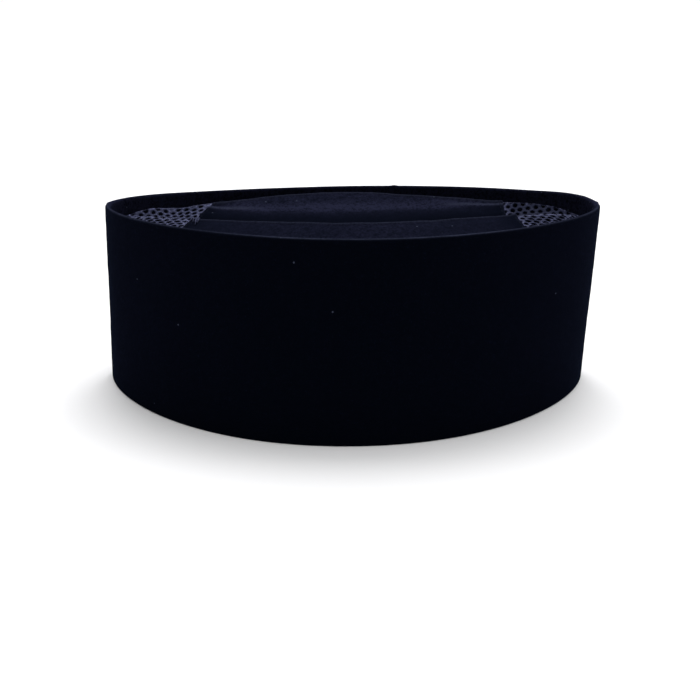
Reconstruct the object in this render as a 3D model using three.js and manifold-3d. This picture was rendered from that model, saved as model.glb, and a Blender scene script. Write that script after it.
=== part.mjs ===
// A black velvet cap: an oval side band, and a crown sunk below its rim, pressed into an M-shaped fold.
// A net panel closes each end of the crown. The pieces are four separate walls, open below for the head.
// Lengths are millimetres. X runs along the cap, Y across it, and Z up from the flat lower edge.
import * as THREE from "three";
import { mergeVertices } from "three/addons/utils/BufferGeometryUtils.js";
import Module from "manifold-3d";

// Side band
const HEIGHT = 81.5; // from the lower edge to the rim, at both ends
const RIM_SAG = 2.8; // how far the rim dips in the middle of each long side
const RIM_LENGTH = 218;
const RIM_WIDTH = 132;
const RIM_LEAN = 2.8; // how far the rim's oval is shifted along X over the lower edge's
const EDGE_LENGTH = 224.8; // lower edge
const EDGE_WIDTH = 155;
const BAND_WALL = 2.4;

// Crown and its folds
const CROWN_WALL = 1.2;
const SEAM_DROP = 6.2; // from the rim down to the seam that joins crown and band
const TIP_DROP = 2.2; // how much deeper that seam lies at the crown's two tips
const TIP_FROM = 0.72; // where the seam starts to go deeper, as a share of the rim's half length
const TIP_SPAN = 0.26; // the share over which it does
const GUSSET_WIDTH = 24.7; // from the band to the pressed ridge, across the middle
const SEAM_GAP = 0.3; // clearance between pieces that are sewn together

// Nets
const NET_WALL = 1.0;
const FRONT_REACH = 40.5; // from the rim's front end to the seam between net and velvet
const REAR_REACH = 38.7; // the same at the rear end
const MESH_LENGTH = 7.4; // from one gap to the next in a row along X
const MESH_ROW = 6.2; // from one row of gaps to the next
const STRAND_WIDTH = 2.0;
const NET_HEM = 1.5; // solid border round the net

// Steps of the faceted surfaces
const BAND_STEPS = 96;
const RIM_STEPS = 4;
const CROWN_STEPS = 32;
const NET_STEPS = 9;
const GUSSET_STEPS = 2;
const TIP_TURN = 0.03; // radians from the oval's very end to where the net's last edge lies

// Powers on the cosine (along) and the sine (across) of each oval: 1 and 1 give an ellipse, and a
// larger power across draws the two ends to a point, as the creases of a cap stored flat do.
const RIM_FORM = { along: 1.07, across: 1.09 };
const EDGE_FORM = { along: 0.97, across: 1.37 };

// The crown along its length, from one tip (-1) to the other (1). The ridge's distance from the middle
// line is a share of its largest, and the heights of ridge and valley over the rim are shares of SEAM_DROP.
const CROWN_SECTIONS = [
  { along: -1.0, spread: 0.02, ridge: -0.97, valley: -1.0 },
  { along: -0.86, spread: 0.27, ridge: -0.64, valley: -1.42 },
  { along: -0.67, spread: 0.45, ridge: -0.41, valley: -1.5 },
  { along: -0.48, spread: 0.67, ridge: -0.17, valley: -1.5 },
  { along: -0.29, spread: 0.88, ridge: 0.05, valley: -1.47 },
  { along: 0.0, spread: 1.0, ridge: 0.17, valley: -1.45 },
  { along: 0.27, spread: 0.84, ridge: 0.08, valley: -1.45 },
  { along: 0.46, spread: 0.65, ridge: 0.0, valley: -1.48 },
  { along: 0.65, spread: 0.46, ridge: -0.15, valley: -1.5 },
  { along: 0.84, spread: 0.28, ridge: -0.38, valley: -1.4 },
  { along: 1.0, spread: 0.02, ridge: -0.97, valley: -1.0 },
];

// One half of the pressed fold, from the valley (out 0, up 0) over a soft shoulder to the ridge (1, 1).
const FOLD_PROFILE = [
  { out: 0.0, up: 0.0 },
  { out: 0.13, up: 0.07 },
  { out: 0.34, up: 0.34 },
  { out: 0.5, up: 0.5 },
  { out: 0.66, up: 0.6 },
  { out: 0.86, up: 0.82 },
  { out: 1.0, up: 1.0 },
];

const VELVET = new THREE.MeshStandardMaterial({ color: 0x0a0a12, roughness: 0.95, metalness: 0 });
const NETTING = new THREE.MeshStandardMaterial({ color: 0x2c3040, roughness: 0.7, metalness: 0 });

const wasm = await Module();
wasm.setup();

function signedPower(value, power) {
  return Math.sign(value) * Math.abs(value) ** power;
}

// The rim's height over the lower edge at a place along X.
function rimHeight(x) {
  const along = (x - RIM_LEAN) / (RIM_LENGTH / 2);
  return HEIGHT - RIM_SAG * Math.max(0, 1 - along ** 2);
}

// How far a place along X is into the deeper part of the seam: 0 before it and 1 at the tip.
function tipShare(x) {
  const along = Math.abs(x - RIM_LEAN) / (RIM_LENGTH / 2);
  return THREE.MathUtils.clamp((along - TIP_FROM) / TIP_SPAN, 0, 1);
}

// Depth of the crown's seam below the rim.
function seamDrop(x) {
  return SEAM_DROP + TIP_DROP * tipShare(x) ** 2;
}

// A point of the band's outer oval: share 0 is the lower edge and 1 the rim, and turn goes round it.
function ovalPoint(share, turn) {
  const along = Math.cos(turn);
  const across = Math.sin(turn);
  const rim = new THREE.Vector2(
    RIM_LEAN + (RIM_LENGTH / 2) * signedPower(along, RIM_FORM.along),
    (RIM_WIDTH / 2) * signedPower(across, RIM_FORM.across),
  );
  const edge = new THREE.Vector2(
    (EDGE_LENGTH / 2) * signedPower(along, EDGE_FORM.along),
    (EDGE_WIDTH / 2) * signedPower(across, EDGE_FORM.across),
  );
  return edge.lerp(rim, share);
}

// The same point moved inwards, square to the oval.
function insetPoint(share, turn, inset) {
  const step = Math.PI / BAND_STEPS;
  const tangent = ovalPoint(share, turn + step).sub(ovalPoint(share, turn - step)).normalize();
  const inwards = new THREE.Vector2(-tangent.y, tangent.x);
  return ovalPoint(share, turn).addScaledVector(inwards, inset);
}

// Closed geometry from points and triangles that share them.
function meshGeometry(points, triangles) {
  const geometry = new THREE.BufferGeometry().setFromPoints(points);
  geometry.setIndex(triangles);
  geometry.computeVertexNormals();
  return geometry;
}

// The band's wall in section, as inset from its outer face and height at a rim of the given height.
function bandSection(rim) {
  const roll = BAND_WALL / 2;
  const section = [
    { inset: 0, z: 0 },
    { inset: 0, z: rim / 2 },
  ];
  for (let i = 0; i <= RIM_STEPS; i++) {
    const angle = (Math.PI * i) / RIM_STEPS;
    section.push({ inset: roll - roll * Math.cos(angle), z: rim - roll + roll * Math.sin(angle) });
  }
  section.push({ inset: BAND_WALL, z: rim / 2 });
  section.push({ inset: BAND_WALL, z: 0 });
  return section;
}

// Side band: its section carried once round the oval.
function sideBand() {
  const points = [];
  const triangles = [];
  const sectionSize = bandSection(HEIGHT).length;
  for (let i = 0; i < BAND_STEPS; i++) {
    const turn = (2 * Math.PI * i) / BAND_STEPS;
    const rim = rimHeight(ovalPoint(1, turn).x);
    for (const { inset, z } of bandSection(rim)) {
      const place = insetPoint(z / rim, turn, inset);
      points.push(new THREE.Vector3(place.x, place.y, z));
    }
  }
  for (let i = 0; i < BAND_STEPS; i++) {
    for (let j = 0; j < sectionSize; j++) {
      const here = i * sectionSize;
      const next = ((i + 1) % BAND_STEPS) * sectionSize;
      const up = (j + 1) % sectionSize;
      triangles.push(here + j, next + j, next + up, here + j, next + up, here + up);
    }
  }
  return meshGeometry(points, triangles);
}

// The band's inner face where the crown is sewn to it, less the seam's clearance.
function seamPoint(x, turn) {
  const share = 1 - seamDrop(x) / rimHeight(x);
  return insetPoint(share, turn, BAND_WALL + SEAM_GAP);
}

// The crown's half width at x: its turn on the oval is found by halving.
function crownHalfWidth(x) {
  let low = 0;
  let high = Math.PI;
  for (let i = 0; i < 40; i++) {
    const middle = (low + high) / 2;
    if (seamPoint(x, middle).x > x) low = middle;
    else high = middle;
  }
  return seamPoint(x, (low + high) / 2).y;
}

const REAR_TIP = seamPoint(RIM_LEAN + RIM_LENGTH / 2, TIP_TURN).x;
const FRONT_TIP = seamPoint(RIM_LEAN - RIM_LENGTH / 2, Math.PI - TIP_TURN).x;
const REAR_SEAM = RIM_LEAN + RIM_LENGTH / 2 - REAR_REACH;
const FRONT_SEAM = RIM_LEAN - RIM_LENGTH / 2 + FRONT_REACH;
const RIDGE_SPREAD = crownHalfWidth(RIM_LEAN) - GUSSET_WIDTH; // largest distance of a ridge from the middle

const sectionAt = new THREE.CubicInterpolant(
  CROWN_SECTIONS.map((row) => row.along),
  CROWN_SECTIONS.flatMap((row) => [row.spread, row.ridge, row.valley]),
  3,
);

// The crown's upper face across the cap at x, from one seam to the other, as points in Y and Z.
function crownAcross(x) {
  const along = (2 * (x - FRONT_TIP)) / (REAR_TIP - FRONT_TIP) - 1;
  const [spread, ridge, valley] = sectionAt.evaluate(THREE.MathUtils.clamp(along, -1, 1));
  const rim = rimHeight(x);
  const sunk = TIP_DROP * tipShare(x) ** 4;
  const ridgeY = spread * RIDGE_SPREAD;
  const ridgeZ = rim + ridge * SEAM_DROP - sunk;
  const valleyZ = rim + valley * SEAM_DROP - sunk;
  const half = FOLD_PROFILE.map(({ out, up }) => ({
    y: out * ridgeY,
    z: THREE.MathUtils.lerp(valleyZ, ridgeZ, up),
  }));
  for (let i = 1; i <= GUSSET_STEPS; i++) {
    const share = i / GUSSET_STEPS;
    half.push({
      y: THREE.MathUtils.lerp(ridgeY, crownHalfWidth(x), share),
      z: THREE.MathUtils.lerp(ridgeZ, rim - seamDrop(x), share),
    });
  }
  const mirrored = half.slice(1).reverse();
  return [...mirrored.map(({ y, z }) => ({ y: -y, z })), ...half];
}

// A sheet that follows the crown over the given places along X, closed round its border.
function crownSheet(places, wall) {
  const points = [];
  const triangles = [];
  const columns = places.map((x) => crownAcross(x).map(({ y, z }) => new THREE.Vector3(x, y, z)));
  const across = columns[0].length;
  const below = new THREE.Vector3(0, 0, -wall);
  for (const column of columns) points.push(...column);
  for (const column of columns) points.push(...column.map((point) => point.clone().add(below)));
  const under = places.length * across;
  for (let i = 0; i + 1 < places.length; i++) {
    for (let j = 0; j + 1 < across; j++) {
      const a = i * across + j;
      const b = a + across;
      triangles.push(a, b, b + 1, a, b + 1, a + 1);
      triangles.push(under + a, under + b + 1, under + b, under + a, under + a + 1, under + b + 1);
    }
  }
  const last = (places.length - 1) * across;
  const border = [];
  for (let i = 0; i + 1 < places.length; i++) border.push(i * across);
  for (let j = 0; j + 1 < across; j++) border.push(last + j);
  for (let i = places.length - 1; i > 0; i--) border.push(i * across + across - 1);
  for (let j = across - 1; j > 0; j--) border.push(j);
  border.forEach((here, i) => {
    const next = border[(i + 1) % border.length];
    triangles.push(under + here, under + next, next, under + here, next, here);
  });
  return meshGeometry(points, triangles);
}

// Evenly spaced places along X.
function evenPlaces(from, to, steps) {
  return Array.from({ length: steps + 1 }, (_, i) => THREE.MathUtils.lerp(from, to, i / steps));
}

// Places along a net, closer together towards its round tip.
function netPlaces(tip, seam) {
  const places = evenPlaces(0, Math.PI / 2, NET_STEPS).map((angle) => {
    return THREE.MathUtils.lerp(seam, tip, Math.sin(angle));
  });
  return places.sort((a, b) => a - b);
}

// Solid from closed geometry, and geometry from a solid.
function solidOf(geometry) {
  const bare = geometry.clone();
  bare.deleteAttribute("normal");
  bare.deleteAttribute("uv");
  const merged = mergeVertices(bare);
  const vertProperties = new Float32Array(merged.attributes.position.array);
  const triVerts = new Uint32Array(merged.index.array);
  return new wasm.Manifold(new wasm.Mesh({ numProp: 3, vertProperties, triVerts }));
}

function geometryOf(solid) {
  const { numProp, vertProperties, triVerts } = solid.getMesh();
  const points = [];
  for (let i = 0; i < vertProperties.length; i += numProp) {
    points.push(new THREE.Vector3().fromArray(vertProperties, i));
  }
  return meshGeometry(points, Array.from(triVerts));
}

// An upright prism over a closed outline in X and Y, taller than the whole cap.
function prism(outline) {
  const shape = new THREE.Shape(outline);
  return solidOf(new THREE.ExtrudeGeometry(shape, { depth: 2 * HEIGHT, bevelEnabled: false }));
}

// The six corners of one gap of the net round its centre. Staggered rows of hexagons that nest without
// strands would be two thirds of a row's pitch from centre to point.
function gapOutline(x, y) {
  const halfLength = (MESH_LENGTH - STRAND_WIDTH) / 2;
  const point = (2 * MESH_ROW) / 3 - STRAND_WIDTH / 2;
  return [
    new THREE.Vector2(x + halfLength, y - point / 2),
    new THREE.Vector2(x + halfLength, y + point / 2),
    new THREE.Vector2(x, y + point),
    new THREE.Vector2(x - halfLength, y + point / 2),
    new THREE.Vector2(x - halfLength, y - point / 2),
    new THREE.Vector2(x, y - point),
  ];
}

// The area inside a net's hem, as a prism: gaps are cut only where it reaches.
function netField(tip, seam) {
  const outwards = Math.sign(tip - seam);
  const places = netPlaces(tip - outwards * NET_HEM, seam + outwards * NET_HEM);
  const edge = places
    .map((x) => new THREE.Vector2(x, crownHalfWidth(x) - NET_HEM))
    .filter((point) => point.y > 0);
  const mirrored = edge.map((point) => new THREE.Vector2(point.x, -point.y));
  return prism([...mirrored, ...edge.reverse()]);
}

// Centres of the gaps whose middle lies inside the hem, in staggered rows from the seam to the tip.
function gapCentres(tip, seam) {
  const outwards = Math.sign(tip - seam);
  const rows = Math.ceil(RIM_WIDTH / 2 / MESH_ROW);
  const perRow = Math.ceil(Math.abs(tip - seam) / MESH_LENGTH);
  const centres = [];
  for (let row = -rows; row <= rows; row++) {
    const stagger = row % 2 ? 0.75 : 0.25;
    for (let i = 0; i < perRow; i++) {
      const x = seam + outwards * (i + stagger) * MESH_LENGTH;
      const y = row * MESH_ROW;
      const toTip = outwards * (tip - x);
      if (toTip > NET_HEM && crownHalfWidth(x) - Math.abs(y) > NET_HEM) centres.push({ x, y });
    }
  }
  return centres;
}

// Net panel: a sheet of the crown's form, cut through in staggered rows of six-sided gaps.
function netPanel(tip, seam) {
  const field = netField(tip, seam);
  let net = solidOf(crownSheet(netPlaces(tip, seam), NET_WALL));
  for (const { x, y } of gapCentres(tip, seam)) {
    net = net.subtract(prism(gapOutline(x, y)).intersect(field));
  }
  return geometryOf(net);
}

function namedMesh(name, geometry, material) {
  const mesh = new THREE.Mesh(geometry, material);
  mesh.name = name;
  return mesh;
}

const velvetFrom = FRONT_SEAM + SEAM_GAP / 2;
const velvetTo = REAR_SEAM - SEAM_GAP / 2;
const cap = new THREE.Group();
cap.add(
  namedMesh("side_band", sideBand(), VELVET),
  namedMesh("crown_panel", crownSheet(evenPlaces(velvetFrom, velvetTo, CROWN_STEPS), CROWN_WALL), VELVET),
  namedMesh("front_net", netPanel(FRONT_TIP, FRONT_SEAM - SEAM_GAP / 2), NETTING),
  namedMesh("rear_net", netPanel(REAR_TIP, REAR_SEAM + SEAM_GAP / 2), NETTING),
);

// The origin stays under the middle of the whole cap, whatever the rim's lean.
const rearEnd = Math.max(EDGE_LENGTH / 2, RIM_LEAN + RIM_LENGTH / 2);
const frontEnd = Math.min(-EDGE_LENGTH / 2, RIM_LEAN - RIM_LENGTH / 2);
cap.position.x = -(rearEnd + frontEnd) / 2;

export default cap;
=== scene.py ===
"""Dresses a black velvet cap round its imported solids.

The cap has an oval side band, a crown that is sunk below the rim and pressed into an M-shaped fold,
and a knitted net panel at each end of the crown. Lengths are metres, X runs along the cap, Y across
it and Z up from the plane it stands on.
"""

import logging
import math
from dataclasses import dataclass
from enum import Enum

import bpy
import numpy as np
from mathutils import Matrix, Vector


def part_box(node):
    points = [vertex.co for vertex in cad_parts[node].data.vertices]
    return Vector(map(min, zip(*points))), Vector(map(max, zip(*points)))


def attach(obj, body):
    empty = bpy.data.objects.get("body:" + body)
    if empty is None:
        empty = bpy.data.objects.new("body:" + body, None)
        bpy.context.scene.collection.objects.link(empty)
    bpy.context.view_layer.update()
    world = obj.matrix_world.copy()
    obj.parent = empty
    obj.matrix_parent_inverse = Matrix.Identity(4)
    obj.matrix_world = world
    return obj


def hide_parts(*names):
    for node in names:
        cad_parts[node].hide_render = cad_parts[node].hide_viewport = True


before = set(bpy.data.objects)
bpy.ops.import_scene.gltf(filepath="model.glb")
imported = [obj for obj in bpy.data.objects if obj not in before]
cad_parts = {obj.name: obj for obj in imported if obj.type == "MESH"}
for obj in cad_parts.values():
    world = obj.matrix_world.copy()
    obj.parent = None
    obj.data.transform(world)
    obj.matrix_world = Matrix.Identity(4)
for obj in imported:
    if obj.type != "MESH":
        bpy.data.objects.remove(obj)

log = logging.getLogger("cap")

Array = np.ndarray
Material = bpy.types.Material
Socket = bpy.types.NodeSocket

MM = 0.001
ROD_SIDES = 6
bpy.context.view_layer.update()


class End(Enum):
    """The two ends of the cap, with the direction of each along X."""

    FRONT = -1
    REAR = 1


class Zone(Enum):
    """Which finish a face of a two-sided piece takes: the slot's number in its mesh."""

    VELVET = 0
    BACKING = 1


def hump(distance: Array, reach: float) -> Array:
    """Bell curve: e to the minus square of distance over reach.

    Args:
        distance: How far each point lies from the middle of the bell.
        reach: Distance at which the bell has fallen to about a third.

    Returns:
        Values from 0 to 1.
    """
    return np.exp(-((distance / reach) ** 2))


def ripple(a: Array, b: Array, length: float, seed: int) -> Array:
    """Even, soft unevenness: the mean of six plane waves with seeded directions and phases.

    Args:
        a: First coordinate of each point.
        b: Second coordinate, in the same unit.
        length: Typical distance from crest to crest.
        seed: Seed of the directions and phases.

    Returns:
        Values of about -1 to 1.
    """
    draw = np.random.default_rng(seed)
    waves = 6
    turns, phases = draw.uniform(0, math.tau, waves), draw.uniform(0, math.tau, waves)
    total = np.zeros(np.broadcast(a, b).shape)
    for turn, phase, stretch in zip(turns, phases, draw.uniform(0.7, 1.4, waves)):
        wave = math.tau * stretch / length
        total += np.sin(wave * (np.cos(turn) * a + np.sin(turn) * b) + phase)
    return total / math.sqrt(waves * 2)


def eased(steps: int, strength: float) -> Array:
    """Places from 0 to 1 that crowd towards both: s less strength times the sine of a full turn of s.

    Args:
        steps: Number of steps.
        strength: 0 for even places, 1 for places that start from a standstill.

    Returns:
        The places, one more than steps.
    """
    s = np.linspace(0, 1, steps + 1)
    return s - np.sin(math.tau * s) / math.tau * strength


def table_curve(at: Array, table: tuple, column: int = 1) -> Array:
    """Smooth curve through a table: cubic pieces whose slope at a row is the slope between its neighbours.

    Args:
        at: Where the curve is wanted; beyond the table it stays level.
        table: Rows of a place and its values, in rising order.
        column: The column of values.

    Returns:
        The curve's value at each place asked for.
    """
    rows = np.array(table)
    places, values = rows[:, 0], rows[:, column]
    slopes = np.gradient(values, places)
    slopes[1:-1] = (values[2:] - values[:-2]) / (places[2:] - places[:-2])
    i = np.clip(np.searchsorted(places, at) - 1, 0, len(places) - 2)
    step = places[i + 1] - places[i]
    t = np.clip((at - places[i]) / step, 0, 1)
    rise = values[i + 1] - values[i]
    start, end = slopes[i] * step, slopes[i + 1] * step
    return values[i] + t * start + t**2 * (3 * rise - 2 * start - end) + t**3 * (start + end - 2 * rise)


@dataclass(frozen=True)
class Oval:
    """One level of the band: an ellipse with a power on its cosine and one on its sine."""

    length: float
    width: float
    along: float
    across: float
    shift: float = 0.0

    def at(self, turn: Array) -> Array:
        """Points of the oval: half length times cosine to a power, half width times sine to a power.

        Args:
            turn: Angles round the oval, in radians.

        Returns:
            X and Y of each point, in the last axis.
        """
        c, s = np.cos(turn), np.sin(turn)
        x = self.shift + self.length / 2 * np.sign(c) * np.abs(c) ** self.along
        y = self.width / 2 * np.sign(s) * np.abs(s) ** self.across
        return np.stack([x, y], axis=-1)


@dataclass
class CapForm:
    """The cap's sizes and the surfaces that follow from them.

    They are the solids' own, except that the ridges' height near both ends, the swing of the nets' seams
    and the fine relief of ridge, valley and edges belong to the dressed cap alone.
    """

    height: float
    edge_length: float
    edge_width: float
    rim_sag: float = 2.8 * MM
    rim_length: float = 218 * MM
    rim_width: float = 132 * MM
    rim_lean: float = 2.8 * MM
    wall: float = 2.4 * MM
    seam_drop: float = 6.2 * MM
    gusset_width: float = 24.7 * MM
    tip_drop: float = 2.2 * MM
    tip_from: float = 0.72
    tip_span: float = 0.26
    tip_turn: float = 0.03
    seam_gap: float = 0.3 * MM
    front_reach: float = 40.5 * MM
    rear_reach: float = 38.7 * MM
    ridge_bead: float = 0.45 * MM
    bead_reach: float = 0.7 * MM
    pinch_reach: float = 3.5 * MM
    valley_pinch: float = 0.35 * MM
    valley_reach: float = 0.6 * MM
    turned_edge: float = 0.8 * MM
    turned_reach: float = 0.9 * MM
    net_sag: float = 1.3 * MM  # a dent in the far side of the front net
    net_sag_x: float = -80 * MM
    net_sag_reach: float = 7 * MM
    net_sag_fade: float = 12 * MM
    # columns: place from the front tip to the rear tip, ridge's distance from the middle line as a share
    # of its largest, and heights of ridge and valley over the rim as shares of seam_drop
    sections: tuple = (
        (-1.0, 0.02, -0.97, -1.0), (-0.86, 0.27, -0.53, -1.42), (-0.67, 0.45, -0.41, -1.5),
        (-0.48, 0.67, -0.17, -1.5), (-0.29, 0.88, 0.05, -1.47), (0.0, 1.0, 0.17, -1.45),
        (0.27, 0.84, 0.08, -1.45), (0.46, 0.65, 0.0, -1.48), (0.65, 0.46, -0.15, -1.5),
        (0.84, 0.28, -0.33, -1.4), (1.0, 0.02, -0.97, -1.0),
    )
    # columns: share of the way out from the valley to the ridge, and share of the way up
    fold: tuple = ((0.0, 0.0), (0.13, 0.07), (0.34, 0.34), (0.5, 0.5), (0.66, 0.6), (0.86, 0.82), (1.0, 1.0))
    # columns, in millimetres: place across the crown, and how far a net's seam is shifted along it there
    front_skew: tuple = (
        (-50, -3.8), (-35, -2.8), (-22, -0.6), (-10, -1.2), (3, -2.3), (10, -1.9), (17, 0.8), (22, 2.6),
        (50, 3.0),
    )
    rear_skew: tuple = ((-50, 2.2), (-40, 1.4), (-30, 0.4), (-22, -0.5), (-10, -0.2), (14, 0.2), (50, 0.0))

    def __post_init__(self) -> None:
        """Works out the two ovals and the crown's seam line, which other measures look up."""
        self.edge = Oval(self.edge_length, self.edge_width, 0.97, 1.37)
        self.rim = Oval(self.rim_length, self.rim_width, 1.07, 1.09, self.rim_lean)
        turn = np.linspace(self.tip_turn, math.pi - self.tip_turn, 4001)
        x = self.rim.at(turn)[:, 0]
        for _ in range(4):
            line = self.place(1 - self.drop(x) / self.rim_height(x), turn, self.wall + self.seam_gap)
            x = line[:, 0]
        self.seam_line = line[::-1]
        self.ridge_spread = float(self.half_width(self.rim_lean)) - self.gusset_width

    @classmethod
    def from_frame(cls) -> "CapForm":
        """The form with the height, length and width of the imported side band."""
        low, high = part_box("side_band")
        return cls(height=high[2] - low[2], edge_length=high[0] - low[0], edge_width=high[1] - low[1])

    def rim_height(self, x: Array) -> Array:
        """Height of the rim at x: the full height at both ends, less a parabola between them."""
        along = (x - self.rim_lean) / (self.rim_length / 2)
        return self.height - self.rim_sag * np.maximum(0, 1 - along**2)

    def tip_share(self, x: Array) -> Array:
        """How far x is into the deeper part of the crown's seam: 0 before it and 1 at the tip."""
        along = np.abs(x - self.rim_lean) / (self.rim_length / 2)
        return np.clip((along - self.tip_from) / self.tip_span, 0, 1)

    def drop(self, x: Array) -> Array:
        """Depth of the crown's seam below the rim at x: even in the middle, deeper towards both tips."""
        return self.seam_drop + self.tip_drop * self.tip_share(x) ** 2

    def place(self, share: Array, turn: Array, inset: Array) -> Array:
        """Points of the band in plan: between the two ovals by share, then inwards square to the curve.

        Args:
            share: 0 on the lower edge and 1 on the rim.
            turn: Angle round the oval.
            inset: Distance inwards from the outer face.

        Returns:
            X and Y of each point, in the last axis.
        """
        step = 0.02
        share = np.asarray(share)[..., None]

        def level(angle: Array) -> Array:
            """Points between the two ovals."""
            return (1 - share) * self.edge.at(angle) + share * self.rim.at(angle)

        tangent = level(turn + step) - level(turn - step)
        tangent /= np.linalg.norm(tangent, axis=-1, keepdims=True)
        inwards = np.stack([-tangent[..., 1], tangent[..., 0]], axis=-1)
        return level(turn) + inwards * np.asarray(inset)[..., None]

    def half_width(self, x: Array) -> Array:
        """The crown's half width at x, from its middle line to the seam with the band."""
        return np.interp(x, self.seam_line[:, 0], self.seam_line[:, 1])

    def seam_x(self, end: End) -> float:
        """Middle place along X of the seam between velvet and net at one end."""
        reach = self.front_reach if end is End.FRONT else self.rear_reach
        return self.rim_lean + end.value * (self.rim_length / 2 - reach)

    def skew(self, end: End, y: Array) -> Array:
        """How far the seam at one end is shifted along X at y, because it isn't straight across."""
        return table_curve(y / MM, self.front_skew if end is End.FRONT else self.rear_skew) * MM

    def tip_x(self, end: End) -> float:
        """Place along X of the crown's tip at one end."""
        return float(self.seam_line[0 if end is End.FRONT else -1, 0])

    def section(self, x: Array, column: int) -> Array:
        """One column of the table of sections, as a smooth curve along the crown."""
        front, rear = self.tip_x(End.FRONT), self.tip_x(End.REAR)
        return table_curve(2 * (x - front) / (rear - front) - 1, self.sections, column)

    def ridge_y(self, x: Array) -> Array:
        """Distance of the pressed ridges from the middle line at x."""
        return self.section(x, 1) * self.ridge_spread

    def crown(self, x: Array, y: Array, bead: float = 1.0) -> Array:
        """Height of the crown's upper face: fold profile up to the ridge, then a straight gusset to the band.

        The pressed ridge stands up as a fine bead, the valley is pinched, and the cloth turns down
        into the seam along the band.

        Args:
            x: Place along the cap.
            y: Place across it.
            bead: Strength of bead, pinch and turned edge.

        Returns:
            Height of each point.
        """
        out = np.abs(y)
        ridge_y, wall_y = self.ridge_y(x), self.half_width(x)
        rim = self.rim_height(x)
        sunk = self.tip_drop * self.tip_share(x) ** 4
        ridge_z = rim + self.section(x, 2) * self.seam_drop - sunk
        valley_z = rim + self.section(x, 3) * self.seam_drop - sunk
        leaf = valley_z + (ridge_z - valley_z) * table_curve(out / ridge_y, self.fold)
        down = np.clip((out - ridge_y) / np.maximum(wall_y - ridge_y, 1e-6), 0, 1)
        height = np.where(out < ridge_y, leaf, ridge_z + (rim - self.drop(x) - ridge_z) * down)
        pinch = hump(out - ridge_y, self.bead_reach) - hump(out - ridge_y, self.pinch_reach)
        height += bead * self.ridge_bead * pinch
        height -= bead * self.valley_pinch * hump(out, self.valley_reach)
        far_side = np.clip(y / self.net_sag_fade, 0, 1)
        height -= self.net_sag * hump(x - self.net_sag_x, self.net_sag_reach) * far_side
        height -= bead * self.turned_edge * np.exp(-np.maximum(wall_y - out, 0) / self.turned_reach)
        return height


class MeshPiece:
    """A finished mesh of the cap: made from arrays, smoothed, and ridden on the body."""

    def __init__(self, name: str, places: tuple, faces: list | Array) -> None:
        """Makes the object.

        Args:
            name: The object's name.
            places: X, Y and Z of the vertices, in shapes that broadcast together.
            faces: Corner numbers of each face, anticlockwise from outside.
        """
        mesh = bpy.data.meshes.new(name)
        points = np.stack(np.broadcast_arrays(*places), axis=-1).reshape(-1, 3)
        mesh.from_pydata(points.tolist(), [], faces.tolist() if isinstance(faces, Array) else faces)
        mesh.polygons.foreach_set("use_smooth", np.ones(len(mesh.polygons), dtype=bool))
        self.object = bpy.data.objects.new(name, mesh)
        bpy.context.scene.collection.objects.link(self.object)

    def dress(self, *materials: Material) -> "MeshPiece":
        """Adds the materials to the mesh's slots, in order."""
        for material in materials:
            self.object.data.materials.append(material)
        return self

    def back(self, hidden: Array) -> "MeshPiece":
        """Gives the hidden faces the second slot's material, the backing, and the others the first."""
        numbers = np.where(hidden, Zone.BACKING.value, Zone.VELVET.value)
        self.object.data.polygons.foreach_set("material_index", numbers.astype(np.int32))
        return self

    def measure(self, **layers: Array) -> "MeshPiece":
        """Keeps one number per vertex under each name, for the material to read."""
        for name, values in layers.items():
            layer = self.object.data.attributes.new(name, "FLOAT", "POINT")
            layer.data.foreach_set("value", np.asarray(values, dtype=np.float32).reshape(-1))
        return self

    def mount(self, slot: str, *nodes: str) -> bpy.types.Object:
        """Rides the piece on the body, hides the solids that it stands for and logs its triangle count."""
        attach(self.object, "root")
        if nodes:
            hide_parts(*nodes)
        mesh = self.object.data
        mesh.calc_loop_triangles()
        log.info("%s: %d triangles", self.object.name, len(mesh.loop_triangles))
        return self.object


def grid_faces(rows: int, columns: int, wrap_rows: bool, wrap_columns: bool) -> Array:
    """Four-sided faces over a grid of points numbered row by row.

    Args:
        rows: Number of rows.
        columns: Number of columns.
        wrap_rows: Whether the last row joins the first.
        wrap_columns: Whether the last column joins the first.

    Returns:
        One row of four corner numbers for each face.
    """
    i = np.arange(rows if wrap_rows else rows - 1)[:, None]
    j = np.arange(columns if wrap_columns else columns - 1)[None, :]
    i2, j2 = (i + 1) % rows, (j + 1) % columns
    corners = [i * columns + j, i2 * columns + j, i2 * columns + j2, i * columns + j2]
    return np.stack([np.broadcast_to(c, (i.size, j.size)) for c in corners], axis=-1).reshape(-1, 4)


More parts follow.
